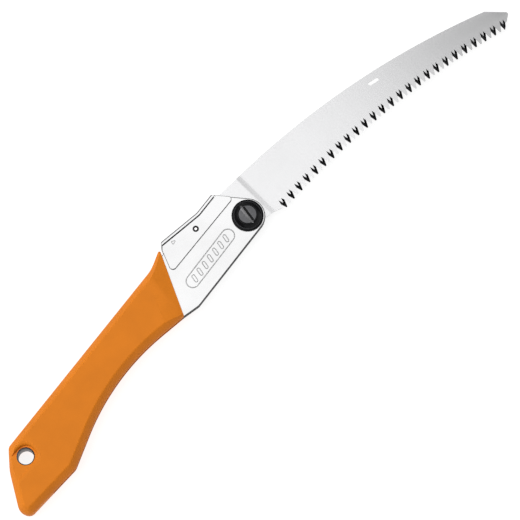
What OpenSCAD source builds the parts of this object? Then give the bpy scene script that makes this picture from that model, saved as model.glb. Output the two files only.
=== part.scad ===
// Folding pruning saw, open for work and lying on its side.
// X runs towards the blade's nose, Y towards its back and Z up through the pivot.
// Outlines are drawn from the pivot's axis and the middle plane, and place() moves them to the row's origin.

/* [Blade] */
// From the pivot to the blade's nose, along X
blade_reach = 219.5; // [180:1:265]
// Height of the blade's back above the pivot
back_y = 23.2; // [20:0.1:27]
// Radius of the curved back
back_r = 560; // [480:5:700]
// Depth of the tooth points below the pivot at the middle of the tooth line
tooth_line_y = 12.3; // [10:0.1:15]
// Radius of the curved tooth line
tooth_line_r = 600; // [520:5:720]
// Distance from one tooth to the next
tooth_pitch = 3.78; // [3:0.02:4.6]
// Depth of the gullets between the teeth
tooth_depth = 4.2; // [3:0.1:5]
// Width of a tooth's blunt point
tooth_point = 0.9; // [0.4:0.1:1.4]
// How far the tooth points lean towards the handle
tooth_lean = 0.45; // [0:0.05:0.9]
// Thickness of the tang inside the handle
tang_thick = 1.5; // [1.2:0.05:2]
// Thickness of the ground part of the blade
blade_thick = 1.2; // [0.8:0.05:1.2]
// Radius of the tang's rim, which the lock rides on
rim_r = 19; // [17:0.1:19.5]
// Radius of the tang under the pivot
tang_foot_r = 10.4; // [9.6:0.1:11]

/* [Handle frame] */
// Thickness of the steel sheet
sheet = 1.5; // [1:0.1:2]
// Radius of the frame's round front end
head_r = 11.6; // [11:0.1:13]
// Height of the frame's top edge under the lock lever
frame_top = 20.8; // [19.5:0.1:20.9]
// Height of the embossed rim on the cheeks
emboss = 0.3; // [0.1:0.05:0.4]

/* [Grip] */
// From the pivot to the end of the butt, along X
handle_reach = 242.2; // [225:1:295]
// Thickness of the grip, flank to flank
grip_thick = 20; // [18:0.5:25]
// Rubber left over the frame's back edge
rubber_wall = 4; // [3:0.1:5]
// Width of the slot that the blade folds into
slot_w = 4.4; // [4:0.1:5]
// Radius of the hole in the hang eyelet
hang_r = 5.3; // [4.5:0.1:6]
// Wall of the hang eyelet
eyelet_wall = 0.7; // [0.5:0.05:1]
// Wall of the spacer between the frame's cheeks around the eyelet
spacer_wall = 1.2; // [0.8:0.1:1.3]
// Depth of the lowered flat around the hang hole
hang_recess = 2; // [1:0.1:3]

/* [Lock] */
// Thickness of the lever's sheet
lever_sheet = 1.2; // [0.8:0.1:1.5]
// Radius of the lever's pin
lever_pin_r = 1.6; // [1.2:0.05:1.8]
// Thickness of the pawl
pawl_thick = 3; // [2.5:0.1:3]
// Turn of the lever from just clear of the rim to locked, in degrees
lock_turn = 5; // [4:0.5:6]
// Turn of the tang between its two locking notches, in degrees
notch_step = 20; // [18:1:24]
// Wire radius of the lever's spring
spring_wire_r = 0.25; // [0.2:0.05:0.3]
// Mean radius of the lever's spring
spring_r = 1.25; // [1:0.05:1.35]
// Turns of the lever's spring
spring_turns = 6; // [4:1:8]

/* [Pivot] */
// Radius of the pivot bolt's shank
bolt_r = 3; // [2.5:0.1:3.6]
// Wall of the sleeve that the blade turns on
sleeve_wall = 2; // [1.5:0.1:2.4]
// Radius of the friction washers
friction_r = 9.6; // [8.5:0.1:10.2]
// Thickness of each friction washer
friction_thick = 0.95; // [0.6:0.05:1.2]
// Radius of the bolt's flange washer and of the nut's cap
flange_r = 10.6; // [9:0.1:11.2]
// Height of the flange washer
flange_h = 1.8; // [1.4:0.1:2.4]
// Radius of the bolt cap's foot
cap_r = 8.9; // [8:0.1:9.5]
// Radius of the bolt's head
bolt_head_r = 6; // [5:0.1:6.4]
// Height of the bolt's head above the frame
bolt_head_h = 5.2; // [4.6:0.1:6.5]
// Width of the coin slot
coin_slot_w = 1.8; // [1.2:0.1:2.2]
// Length of the coin slot
coin_slot_l = 16.5; // [13:0.5:17]
// Distance across the nut's flats
nut_flats = 10; // [9:0.1:11.5]
// Thickness of the nut
nut_h = 4; // [3:0.1:4.2]

/* [Clearances] */
// Radial clearance of a part that turns on a pin
turn_gap = 0.05; // [0.03:0.01:0.08]
// Radial clearance of a pin that stays still in its hole
seat_gap = 0.02; // [0.01:0.01:0.05]
// Gap on each face of a friction washer
face_gap = 0.05; // [0.03:0.01:0.1]
// Gap between the lever's cheeks and the frame
lever_gap = 0.2; // [0.1:0.05:0.3]
// Gap between the resting pawl tooth and the rim
rim_gap = 0.35; // [0.3:0.05:0.5]
// Gap around the pawl tooth in its notch
notch_gap = 0.2; // [0.15:0.05:0.3]
// Room past the nose as it swings into the handle
swing_gap = 1.5; // [1:0.1:3]

/* [Hidden] */
$fn = 64;

// Heights above the middle plane
half_gap = tang_thick / 2 + friction_thick + 2 * face_gap;
cheek_out = half_gap + sheet;
lever_in = cheek_out + lever_gap;
lever_out = lever_in + lever_sheet;
grip_half = grip_thick / 2;

// Helpers -----------------------------------------------------------------
function unit(v) = v / norm(v);
function turn(p, a) = [p.x * cos(a) - p.y * sin(a), p.x * sin(a) + p.y * cos(a)];
function turn_about(p, c, a) = c + turn(p - c, a);
function short_way(a) = let (b = (a % 360 + 540) % 360) b - 180;
function arc(c, r, a, b, n) = [for (i = [0:n]) c + r * [cos(a + (b - a) * i / n), sin(a + (b - a) * i / n)]];
function arc_steps(sweep, r) = max(1, ceil(abs(sweep) / 8), ceil(abs(sweep) * r / 400));
// A corner [x, y, radius, steps] becomes an arc that is tangent to both of its sides
function corner_arc(before, here, after) =
    let (p = [here.x, here.y], r = here[2],
        u = unit([before.x, before.y] - p), v = unit([after.x, after.y] - p),
        half = acos(u * v) / 2, c = p + unit(u + v) * r / sin(half),
        from = p + u * r / tan(half) - c, to = p + v * r / tan(half) - c,
        a = atan2(from.y, from.x), sweep = short_way(atan2(to.y, to.x) - a),
        n = is_undef(here[3]) ? arc_steps(sweep, r) : here[3])
    r == 0 ? [p] : arc(c, r, a, a + sweep, n);
function rounded(pts) =
    let (n = len(pts))
    [for (i = [0:n - 1]) each corner_arc(pts[(i + n - 1) % n], pts[i], pts[(i + 1) % n])];
// The same corners with every side moved in by d, on an outline drawn anticlockwise
function moved_in(pts, d) =
    let (n = len(pts))
    [for (i = [0:n - 1])
        let (p = [pts[i].x, pts[i].y],
            u = unit(p - [pts[(i + n - 1) % n].x, pts[(i + n - 1) % n].y]),
            v = unit([pts[(i + 1) % n].x, pts[(i + 1) % n].y] - p),
            a = [-u.y, u.x], b = [-v.y, v.x], convex = u.x * v.y - u.y * v.x > 0,
            q = p + (a + b) * d / (1 + a * b),
            r = pts[i][2])
        [q.x, q.y, convex ? max(r - d, 0.4) : r + d, arc_steps(acos(u * v), r)]];
// A slab of the drawn outline from height a to height b
module slab(a, b) {
    translate([0, 0, a]) linear_extrude(b - a) children();
}
module cylinder_from(a, b, r) {
    translate([0, 0, a]) cylinder(h = b - a, r = r);
}
module ring_from(a, b, r, hole) {
    difference() {
        cylinder_from(a, b, r);
        cylinder_from(a - 1, b + 1, hole);
    }
}
// Rings of equal point counts, closed at both ends
module loft(rings) {
    n = len(rings[0]);
    m = len(rings);
    polyhedron(
        points = [for (ring = rings) each ring],
        faces = concat(
            [[for (i = [0:n - 1]) i]],
            [for (k = [0:m - 2], i = [0:n - 1])
                each [[k * n + i, (k + 1) * n + (i + 1) % n, k * n + (i + 1) % n],
                    [k * n + i, (k + 1) * n + i, (k + 1) * n + (i + 1) % n]]],
            [[for (i = [n - 1:-1:0]) (m - 1) * n + i]]));
}

// Lock geometry -----------------------------------------------------------
lever_axis = [-30.6, 17.6];
tooth_x = -8.6;
tooth_half_tip = 1.5;
tooth_half_root = 2;
tooth_root_y = 22.5;
// The pawl's tooth at rest, just outside the rim; its sides run along Y, the way it moves
function tooth_outline(grow) =
    let (r = rim_r + rim_gap, a = tooth_x - tooth_half_tip - grow, b = tooth_x + tooth_half_tip + grow)
    [[a, sqrt(r * r - a * a) - grow], [b, sqrt(r * r - b * b) - grow],
        [tooth_x + tooth_half_root + grow, tooth_root_y], [tooth_x - tooth_half_root - grow, tooth_root_y]];
// The notch is the locked tooth with a gap all round
notch_outline = [for (p = tooth_outline(notch_gap)) turn_about(p, lever_axis, -lock_turn)];

// Blade outline -----------------------------------------------------------
back_start_x = 12;
back_centre = [back_start_x, back_y - back_r];
tooth_centre = [62, -tooth_line_y - tooth_line_r];
function back_at(x) = [x, back_centre.y + sqrt(back_r * back_r - (x - back_centre.x) * (x - back_centre.x))];
// A point s along the tooth line and h above it
function tooth_at(s, h) =
    let (a = s / tooth_line_r * 180 / PI)
    tooth_centre + (tooth_line_r + h) * [sin(a), cos(a)];
// The first tooth's place along the tooth line, counted from the line's middle
first_tooth = 23.5 - tooth_centre.x;
tooth_count = floor((blade_reach - 9 - tooth_centre.x - first_tooth) / tooth_pitch) + 1;
last_tooth = first_tooth + (tooth_count - 1) * tooth_pitch;
tooth_row = [for (k = [0:tooth_count - 1])
    let (s = first_tooth + k * tooth_pitch)
    each [tooth_at(s - tooth_lean - tooth_point / 2, 0),
        tooth_at(s - tooth_lean + tooth_point / 2, 0),
        tooth_at(s + tooth_pitch / 2, tooth_depth)]];
nose_back = back_at(blade_reach - 10.5);
nose_foot = tooth_at(last_tooth + tooth_pitch * 1.5, 3);
nose = [blade_reach + 0.7, nose_foot.y + 4.4];
back_row = [for (i = [24:-1:0]) back_at(back_start_x + (nose_back.x - back_start_x) * i / 24)];
heel = tooth_at(first_tooth - 2.7, 1.3);
tang_corner = [-3.6, back_y];
blade_outline = concat(
    [tang_corner],
    arc([0, 0], rim_r, 103, 196, 31),
    arc([0, 0], tang_foot_r, 236, 302, 12),
    [[9.6, -9.3], [13, -9.6], [16.2, -10.5], heel, heel + [0.8, 2.1]],
    tooth_row,
    [tooth_at(last_tooth + tooth_pitch * 1.1, 2), nose_foot],
    corner_arc(nose_foot, [nose.x, nose.y, 1.5], nose_back),
    back_row);
nose_swing = norm(nose);

// Handle outlines ---------------------------------------------------------
front_line_angle = 40.2;
belly_line_angle = -82.4;
front_dir = [cos(front_line_angle), sin(front_line_angle)];
belly_dir = [cos(belly_line_angle), sin(belly_line_angle)];
// A point on the line that touches the frame's round end, given its height
function front_line_x(y, r) = (r - front_dir.y * y) / front_dir.x;
function belly_line_y(x, r) = (r - belly_dir.x * x) / belly_dir.y;
grip_front_belly = [-76.9, -18.5];
grip_front_back = [-56.8, 25.2];
// Corners of the grip, anticlockwise from its belly side at the front: x, y, radius
grip_corners = [
    [grip_front_belly.x, grip_front_belly.y, 0.5],
    [grip_front_back.x, grip_front_back.y, 1],
    [-70.5, 18.9, 25],
    [-handle_reach + 23, 0.7, 5],
    [-handle_reach + 12.5, -11.2, 30],
    [-handle_reach - 1.4, -34.5, 7],
    [-handle_reach + 1.7, -42, 5],
    [-handle_reach + 44.5, -40.3, 8],
    [-137.6, -13.5, 165]];
// Where the frame's back edge ends at the butt
frame_butt_x = -handle_reach + 23.2;
// Corners of the frame, anticlockwise; inside the grip it lies a wall under the rubber
frame_corners = [
    [head_r * front_dir.x, head_r * front_dir.y, 0],
    [front_line_x(frame_top, head_r), frame_top, 1.5],
    [-66, frame_top, 4],
    [-72, 18.9 - rubber_wall, 20],
    [frame_butt_x, 0.7 - rubber_wall, 5],
    [-handle_reach + 6.2, -31, 8],
    [-handle_reach + 16, -37.2, 4],
    [-handle_reach + 47, -35.8, 8],
    [-137.6, -10.2, 150],
    [-83, -15.2, 3],
    [-78.5, -18.3, 1],
    [-65, belly_line_y(-65, head_r), 3],
    [head_r * belly_dir.x, head_r * belly_dir.y, 0]];
hang_centre = [-handle_reach + 26.7, -12];
eyelet_r = hang_r + eyelet_wall;

module frame_outline() {
    union() {
        polygon(rounded(frame_corners));
        circle(r = head_r);
    }
}
// The region from the frame's back edge down to a depth below it
module back_band(depth) {
    polygon([
        [-66, frame_top + 1],
        [-66, frame_top - depth],
        [-72, 18.9 - rubber_wall - depth],
        [frame_butt_x, 0.7 - rubber_wall - depth],
        [frame_butt_x, 0.7 - rubber_wall + 2],
        [-72, 18.9 - rubber_wall + 2]]);
}
// The plain round-ended rim embossed on each cheek
module rim_outline() {
    translate([-37.5, -3]) rotate(8) difference() {
        round_bar(38, 4.7);
        round_bar(38, 4.1);
    }
}
module round_bar(length, r) {
    union() {
        square([length, 2 * r], center = true);
        translate([-length / 2, 0]) circle(r = r);
        translate([length / 2, 0]) circle(r = r);
    }
}
// The lowered flat that runs from the hang hole out through the butt
module hang_flat() {
    translate(hang_centre) union() {
        circle(r = hang_r + 2.4);
        polygon([[0, hang_r + 2.4], [-40, hang_r + 0.4], [-40, -hang_r - 4.4], [0, -hang_r - 2.4]]);
    }
}

// Lever outline -----------------------------------------------------------
// Corners of the lever's cheeks, anticlockwise from the front: x, y, radius
lever_front_low = 15;
lever_front_top = 26.8;
lever_corners = [
    [front_line_x(lever_front_low, head_r), lever_front_low, 2],
    [front_line_x(lever_front_top, head_r), lever_front_top, 0.6],
    [-22.6, 24.9, 6],
    [-53.1, 27.5, 1],
    [-55.6, 24.8, 1.5],
    [-62.4, 7.7, 2.6]];
web_low = 23.4;
module lever_outline() {
    polygon(rounded(lever_corners));
}
// What the lever's web leaves free under it
module under_web() {
    polygon(rounded(moved_in(lever_corners, lever_sheet)));
}
spring_x = -45;
seat_top = 17;
// Slope of the lever's back over the spring, and the height of the web's underside there
lever_back_slope = (lever_corners[3].y - lever_corners[2].y) / (lever_corners[3].x - lever_corners[2].x);
web_under = lever_corners[2].y + lever_back_slope * (spring_x - lever_corners[2].x)
    - lever_sheet * norm([1, lever_back_slope]);

// The row's origin ---------------------------------------------------------
function lowest(pts, k) = min([for (p = pts) p[k]]);
function highest(pts, k) = max([for (p = pts) p[k]]);
middle_x = (lowest(rounded(grip_corners), 0) + highest(blade_outline, 0)) / 2;
middle_y = (lowest(rounded(grip_corners), 1) + highest(rounded(lever_corners), 1)) / 2;
// Stands what is drawn from the pivot on the row's origin, under the middle of the whole saw
module place() {
    translate([-middle_x, -middle_y, grip_half]) children();
}

// Sub-parts ---------------------------------------------------------------
module blade() color("gainsboro") place() {
    difference() {
        intersection() {
            slab(-tang_thick / 2, tang_thick / 2) difference() {
                polygon(blade_outline);
                polygon(notch_outline);
                polygon([for (p = notch_outline) turn(p, notch_step)]);
                translate([123.2, 5.7]) rotate(-12) round_bar(5.4, 1.15);
            }
            // The tang is full thickness and the ground part behind its step is thinner
            rotate([90, 0, 0]) translate([0, 0, -60]) linear_extrude(120) polygon([
                [-40, -tang_thick / 2], [12.5, -tang_thick / 2], [15.5, -blade_thick / 2], [400, -blade_thick / 2],
                [400, blade_thick / 2], [15.5, blade_thick / 2], [12.5, tang_thick / 2], [-40, tang_thick / 2]]);
        }
        cylinder_from(-5, 5, bolt_r + seat_gap + sleeve_wall + turn_gap);
    }
}
module pivot_sleeve() color("silver") place()
    ring_from(-half_gap, half_gap, bolt_r + seat_gap + sleeve_wall, bolt_r + seat_gap);
module friction_washer(side)
    mirror([0, 0, side < 0 ? 1 : 0])
        ring_from(tang_thick / 2 + face_gap, half_gap - face_gap, friction_r,
            bolt_r + seat_gap + sleeve_wall + seat_gap);
module friction_washer_upper() color("goldenrod") place() friction_washer(1);
module friction_washer_lower() color("goldenrod") place() friction_washer(-1);
module handle_frame() color("whitesmoke") place() {
    difference() {
        union() {
            slab(half_gap, cheek_out) frame_outline();
            slab(-cheek_out, -half_gap) frame_outline();
            slab(-half_gap, half_gap) intersection() {
                frame_outline();
                back_band(sheet);
            }
            slab(cheek_out - emboss, cheek_out + emboss) rim_outline();
            slab(-cheek_out - emboss, -cheek_out + emboss) rim_outline();
        }
        cylinder_from(-20, 20, bolt_r + seat_gap);
        translate(lever_axis) cylinder_from(-20, 20, lever_pin_r + seat_gap);
        translate(hang_centre) cylinder_from(-20, 20, eyelet_r + seat_gap);
    }
}
module grip() color("darkorange") place() {
    levels = [[-1, 4.5], [-0.9, 2.4], [-0.62, 0.5], [-0.4, 0], [0.4, 0], [0.62, 0.5], [0.9, 2.4], [1, 4.5]];
    difference() {
        loft([for (v = levels)
            [for (p = rounded(moved_in(grip_corners, v[1]))) [p.x, p.y, v[0] * grip_half]]]);
        slab(-cheek_out, cheek_out) frame_outline();
        slab(-slot_w / 2, slot_w / 2) intersection() {
            circle(r = nose_swing + swing_gap);
            polygon([[0, 0], [-150, -8], [-handle_reach + 20, -22], [-handle_reach, -33],
                [-handle_reach, -80], [0, -80]]);
        }
        translate(hang_centre) cylinder_from(-20, 20, eyelet_r + seat_gap);
        slab(grip_half - hang_recess, grip_half + 1) hang_flat();
        slab(-grip_half - 1, -grip_half + hang_recess) hang_flat();
    }
}
module hang_eyelet() color("silver") place() translate(hang_centre)
    ring_from(-grip_half + hang_recess, grip_half - hang_recess, eyelet_r, hang_r);
module tail_spacer() color("dimgray") place() translate(hang_centre)
    ring_from(-half_gap, half_gap, eyelet_r + spacer_wall, eyelet_r + seat_gap);
module lock_lever() color("whitesmoke") place() {
    difference() {
        union() {
            slab(lever_in, lever_out) lever_outline();
            slab(-lever_out, -lever_in) lever_outline();
            slab(-lever_out, lever_out) intersection() {
                difference() {
                    lever_outline();
                    under_web();
                }
                translate([-80, web_low]) square([90, 20]);
            }
        }
        translate(lever_axis) cylinder_from(-20, 20, lever_pin_r + turn_gap);
    }
}
module lock_pawl() color("slategray") place() {
    slab(-pawl_thick / 2, pawl_thick / 2) difference() {
        intersection() {
            union() {
                polygon(tooth_outline(0));
                polygon([[-35, 30], [-35, 15], [-31.5, 12.6], [-27, 13], [-17, 17.5],
                    [tooth_x - tooth_half_root, tooth_root_y - 2], [tooth_x + tooth_half_root, tooth_root_y - 2],
                    [tooth_x + tooth_half_root + 1, 30]]);
            }
            under_web();
        }
        translate(lever_axis) circle(r = lever_pin_r + turn_gap);
    }
}
module lever_pin() color("silver") place() translate(lever_axis) {
    difference() {
        union() {
            cylinder_from(-lever_out - 0.1, lever_out + 0.1, lever_pin_r);
            cylinder_from(lever_out + face_gap, lever_out + 0.5, lever_pin_r + 0.5);
            cylinder_from(-lever_out - 0.5, -lever_out - face_gap, lever_pin_r + 0.5);
        }
        cylinder_from(lever_out, lever_out + 2, 0.9);
        cylinder_from(-lever_out - 2, -lever_out, 0.9);
    }
}
module lever_spring() color("silver") place() {
    sides = 6;
    per_turn = 12;
    bottom = seat_top + spring_wire_r + 0.02;
    top = web_under - spring_wire_r - 0.25;
    steps = spring_turns * per_turn;
    rings = [for (i = [0:steps])
        let (a = 360 * i / per_turn, rise = (top - bottom) / (360 * spring_turns) * 180 / PI,
            c = [spring_x + spring_r * cos(a), bottom + (top - bottom) * i / steps, spring_r * sin(a)],
            out = [cos(a), 0, sin(a)],
            along = unit([-spring_r * sin(a), rise, spring_r * cos(a)]),
            up = cross(along, out))
        [for (j = [0:sides - 1]) c + spring_wire_r * (out * cos(360 * j / sides) + up * sin(360 * j / sides))]];
    loft(rings);
}
module spring_seat() color("silver") place()
    slab(-half_gap, half_gap) polygon([[-51, 12.5], [-39, 12.5], [-39, seat_top], [-51, seat_top]]);
module coin_slot(floor_z) {
    rotate(-8) translate([-coin_slot_w / 2, -coin_slot_l / 2, floor_z]) cube([coin_slot_w, coin_slot_l, 20]);
}
module pivot_bolt() color("dimgray") place() {
    top = cheek_out + bolt_head_h;
    difference() {
        union() {
            cylinder_from(-cheek_out - nut_h - 1, top - 1, bolt_r);
            cylinder_from(top - 1.9, top, bolt_head_r);
        }
        coin_slot(top - 1.4);
    }
}
module bolt_cap() color("black") place() {
    foot = cheek_out + flange_h;
    top = cheek_out + bolt_head_h - 0.2;
    seat = cheek_out + bolt_head_h - 1.9;
    difference() {
        rotate_extrude() polygon([[bolt_r + seat_gap, foot], [cap_r, foot], [cap_r, foot + 0.5],
            [bolt_head_r + 0.7, top], [bolt_head_r + seat_gap, top], [bolt_head_r + seat_gap, seat],
            [bolt_r + seat_gap, seat]]);
        coin_slot(seat + 0.5);
    }
}
module bolt_washer() color("black") place() {
    rotate_extrude() polygon([[bolt_r + turn_gap, cheek_out + 0.6], [cap_r - 0.9, cheek_out + 0.6],
        [cap_r - 0.9, cheek_out], [flange_r, cheek_out], [flange_r, cheek_out + flange_h - 0.6],
        [flange_r - 0.6, cheek_out + flange_h], [bolt_r + turn_gap, cheek_out + flange_h]]);
}
module spring_washer() color("silver") place()
    ring_from(cheek_out, cheek_out + 0.55, cap_r - 1.2, bolt_r + turn_gap);
module pivot_nut() color("silver") place() {
    top = -cheek_out - 0.8;
    difference() {
        translate([0, 0, top - nut_h]) cylinder(h = nut_h, d = nut_flats / cos(30), $fn = 6);
        cylinder_from(-20, 0, bolt_r + turn_gap);
    }
}
module nut_cap() color("black") place() {
    top = -cheek_out;
    difference() {
        rotate_extrude() polygon([[0, -grip_half], [cap_r - 0.6, -grip_half], [cap_r, -grip_half + 0.6],
            [flange_r, top - flange_h], [flange_r, top], [0, top]]);
        cylinder_from(top - 0.8, top + 1, cap_r + seat_gap);
        translate([0, 0, top - nut_h - 1.3]) cylinder(h = nut_h + 2, d = (nut_flats + 0.1) / cos(30), $fn = 6);
    }
}
module nut_washer() color("silver") place()
    ring_from(-cheek_out - 0.8, -cheek_out, cap_r, bolt_r + turn_gap);

blade();
pivot_sleeve();
friction_washer_upper();
friction_washer_lower();
handle_frame();
grip();
hang_eyelet();
tail_spacer();
lock_lever();
lock_pawl();
lever_pin();
lever_spring();
spring_seat();
pivot_bolt();
bolt_cap();
bolt_washer();
spring_washer();
pivot_nut();
nut_cap();
nut_washer();
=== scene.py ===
import math

import bpy
import bmesh
import numpy as np
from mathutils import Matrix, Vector
from mathutils.geometry import tessellate_polygon


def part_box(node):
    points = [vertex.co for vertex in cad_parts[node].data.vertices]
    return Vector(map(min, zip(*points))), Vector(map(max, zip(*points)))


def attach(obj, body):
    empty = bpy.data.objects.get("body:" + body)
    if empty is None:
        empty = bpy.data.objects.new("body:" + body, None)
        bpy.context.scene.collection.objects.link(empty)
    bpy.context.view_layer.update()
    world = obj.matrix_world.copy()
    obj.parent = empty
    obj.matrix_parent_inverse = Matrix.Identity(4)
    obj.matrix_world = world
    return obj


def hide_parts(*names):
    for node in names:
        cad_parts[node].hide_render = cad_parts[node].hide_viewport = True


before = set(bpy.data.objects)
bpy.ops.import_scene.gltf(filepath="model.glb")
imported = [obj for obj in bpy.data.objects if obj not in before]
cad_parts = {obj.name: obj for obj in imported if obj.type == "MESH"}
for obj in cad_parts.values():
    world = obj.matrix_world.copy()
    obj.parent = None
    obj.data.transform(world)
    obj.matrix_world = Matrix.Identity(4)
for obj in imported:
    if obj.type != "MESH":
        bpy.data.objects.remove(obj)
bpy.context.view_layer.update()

mm = 0.001


# The middle and the size of a node's box
def boxOf(node):
    low, high = (np.array(corner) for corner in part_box(node))
    return (low + high) / 2, high - low


# The pivot's axis and the middle plane, which every outline below is drawn from, in millimetres
gripMiddle, gripSize = boxOf("grip")
pivot = np.array([*boxOf("nut_cap")[0][:2], gripMiddle[2]])
hangCentre = (boxOf("hang_eyelet")[0] - pivot)[:2] / mm
pinCentre = (boxOf("lever_pin")[0] - pivot)[:2] / mm
halfGrip = gripSize[2] / 2 / mm
halfLever = boxOf("lock_lever")[1][2] / 2 / mm

# How finely meshes are made: merge and sharpAngle clean a mesh, the others cut arcs and lines into steps
fine = {"merge": 0.002, "sharpAngle": 35, "arcDegrees": 7, "leastRadius": 0.3, "sideStep": 3.0, "circle": 64}


# Points in millimetres from the pivot, put in the row's frame in metres
def toRow(points):
    return np.asarray(points, float) * mm + pivot


# Marks give each face the number of its material, where a piece has more than one
def makePiece(name, points, faces, *materials, marks=None):
    mesh = bpy.data.meshes.new(name)
    mesh.from_pydata(toRow(points).tolist(), [], faces)
    if marks is not None:
        mesh.polygons.foreach_set("material_index", np.array(marks, np.int32))
    piece = bpy.data.objects.new(name, mesh)
    bpy.context.scene.collection.objects.link(piece)
    for material in materials:
        mesh.materials.append(material)
    closeUp(piece)
    return piece


# Merges shared points and turns every face outwards
def closeUp(piece):
    work = bmesh.new()
    work.from_mesh(piece.data)
    bmesh.ops.remove_doubles(work, verts=work.verts, dist=fine["merge"] * mm)
    bmesh.ops.dissolve_degenerate(work, edges=work.edges, dist=fine["merge"] / 2 * mm)
    bmesh.ops.recalc_face_normals(work, faces=work.faces)
    work.to_mesh(piece.data)
    work.free()
    smoothOver(piece)


# The faces' normals, one row each
def faceNormals(mesh):
    normals = np.zeros(len(mesh.polygons) * 3, np.float32)
    mesh.polygons.foreach_get("normal", normals)
    return normals.reshape(-1, 3)


# Shades all but the level faces smooth
def smoothOver(piece):
    mesh = piece.data
    mesh.shade_smooth()
    mesh.set_sharp_from_angle(angle=math.radians(fine["sharpAngle"]))
    mesh.polygons.foreach_set("use_smooth", np.abs(faceNormals(mesh)[:, 2]) < 0.99999)


# Quads of a grid of rows x columns points, closed round the columns or the rows where asked
def gridFaces(rows, columns, closeColumns=False, closeRows=False, start=0):
    r = np.arange(rows if closeRows else rows - 1)[:, None]
    c = np.arange(columns if closeColumns else columns - 1)[None, :]
    a = r * columns + c
    b = r * columns + (c + 1) % columns
    d = (r + 1) % rows * columns + c
    e = (r + 1) % rows * columns + (c + 1) % columns
    return (np.stack([a, b, e, d], -1).reshape(-1, 4) + start).tolist()


# A corner list [x, y, radius] of an anticlockwise outline becomes a ring of points: each corner is an
# arc tangent to both sides, each side is cut into short steps, and every side is first moved in by
# inset times its weight. The list holds one arc and one side for each corner in turn
def ringParts(corners, inset=0.0, weights=None, step=fine["sideStep"]):
    c = np.asarray(corners, float)
    p, r = c[:, :2], c[:, 2]
    w = np.ones(len(c)) if weights is None else np.asarray(weights, float)
    u = p - np.roll(p, 1, 0)
    u /= np.linalg.norm(u, axis=1)[:, None]
    v = np.roll(u, -1, 0)
    a, b = np.stack([-u[:, 1], u[:, 0]], 1), np.stack([-v[:, 1], v[:, 0]], 1)
    turn = np.arctan2(u[:, 0] * v[:, 1] - u[:, 1] * v[:, 0], (u * v).sum(1))
    into, out = inset * np.roll(w, 1), inset * w
    det = a[:, 0] * b[:, 1] - a[:, 1] * b[:, 0]
    moved = np.stack([into * b[:, 1] - out * a[:, 1], a[:, 0] * out - b[:, 0] * into], 1)
    q = p + moved / det[:, None]
    tighter = np.maximum(r - inset * np.minimum(w, np.roll(w, 1)), fine["leastRadius"])
    bend = np.where(turn > 0, tighter, r + inset)
    reach = bend * np.abs(np.tan(turn / 2))
    plain = r * np.abs(np.tan(turn / 2))
    ring = []
    for i in range(len(c)):
        j = (i + 1) % len(c)
        steps = int(max(2, math.ceil(abs(math.degrees(turn[i])) / fine["arcDegrees"]),
                        math.ceil(abs(turn[i]) * r[i] / step)))
        side = np.sign(turn[i])
        centre = q[i] - u[i] * reach[i] + a[i] * bend[i] * side
        t = np.linspace(0, turn[i], steps + 1)
        spoke = -a[i] * side
        ring.append(centre + bend[i] * np.stack([spoke[0] * np.cos(t) - spoke[1] * np.sin(t),
                                                 spoke[0] * np.sin(t) + spoke[1] * np.cos(t)], 1))
        length = np.linalg.norm(p[j] - p[i]) - plain[i] - plain[j]
        cuts = int(max(1, math.ceil(length / step)))
        share = np.linspace(0, 1, cuts + 1)[1:-1, None]
        ring.append((q[i] + v[i] * reach[i]) * (1 - share) + (q[j] - v[i] * reach[j]) * share)
    return ring


def roundedRing(corners, inset=0.0, weights=None, step=fine["sideStep"]):
    return np.concatenate(ringParts(corners, inset, weights, step))


# A circle of points, anticlockwise, or clockwise for a hole
def circleRing(centre, radius, count=fine["circle"], hole=False):
    t = np.linspace(0, 2 * math.pi, count, endpoint=False) * (-1 if hole else 1)
    return np.asarray(centre, float) + radius * np.stack([np.cos(t), np.sin(t)], 1)


# Points turned anticlockwise about a centre
def turnedBy(points, centre, degrees):
    a = math.radians(degrees)
    spin = np.array([[math.cos(a), math.sin(a)], [-math.sin(a), math.cos(a)]])
    return (np.asarray(points) - centre) @ spin + centre


# A stadium outline of a straight length and end radius, turned and moved
def stadium(length, radius, centre, angle, count=12):
    t = np.linspace(-math.pi / 2, math.pi / 2, count)
    right = np.stack([length / 2 + radius * np.cos(t), radius * np.sin(t)], 1)
    return turnedBy(np.concatenate([right, -right]), np.zeros(2), angle) + np.asarray(centre, float)


# The outward normal at each point of a closed ring, from the chord of its two neighbours
def ringNormals(ring):
    chord = np.roll(ring, -1, 0) - np.roll(ring, 1, 0)
    chord /= np.linalg.norm(chord, axis=1)[:, None]
    return np.stack([chord[:, 1], -chord[:, 0]], 1)


# The profile of a rolled edge from the upper face to the lower one: a quarter circle, a straight and
# a quarter circle
def rolledEdge(low, high, roll, steps=4):
    t = np.linspace(0, math.pi / 2, steps + 1)
    top = np.stack([roll * (1 - np.sin(t)), high - roll * (1 - np.cos(t))], 1)
    return np.concatenate([top, np.stack([top[::-1, 0], low + high - top[::-1, 1]], 1)])


# A flat plate: the rolled edge profile is carried round the outline and round each hole, and both
# faces are filled
def platePoints(outline, holes, low, high, roll):
    points, faces, loops, first = [], [], [], 0
    edge = rolledEdge(low, high, roll)
    for ring in [outline] + list(holes):
        rows = ring[None] - ringNormals(ring)[None] * edge[:, 0, None, None]
        heights = np.broadcast_to(edge[:, 1, None, None], rows.shape[:2] + (1,))
        rows = np.concatenate([rows, heights], 2)
        faces += gridFaces(len(edge), len(ring), closeColumns=True, start=first)
        points.append(rows.reshape(-1, 3))
        loops.append((first, rows[0]))
        first += len(points[-1])
    over = np.concatenate([np.arange(len(top)) + start for start, top in loops])
    under = np.concatenate([np.arange(len(top)) + start + (len(edge) - 1) * len(top) for start, top in loops])
    flat = np.array(tessellate_polygon([[Vector(p) for p in top] for start, top in loops]))
    return np.concatenate(points), faces + over[flat].tolist() + under[flat].tolist()


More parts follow.
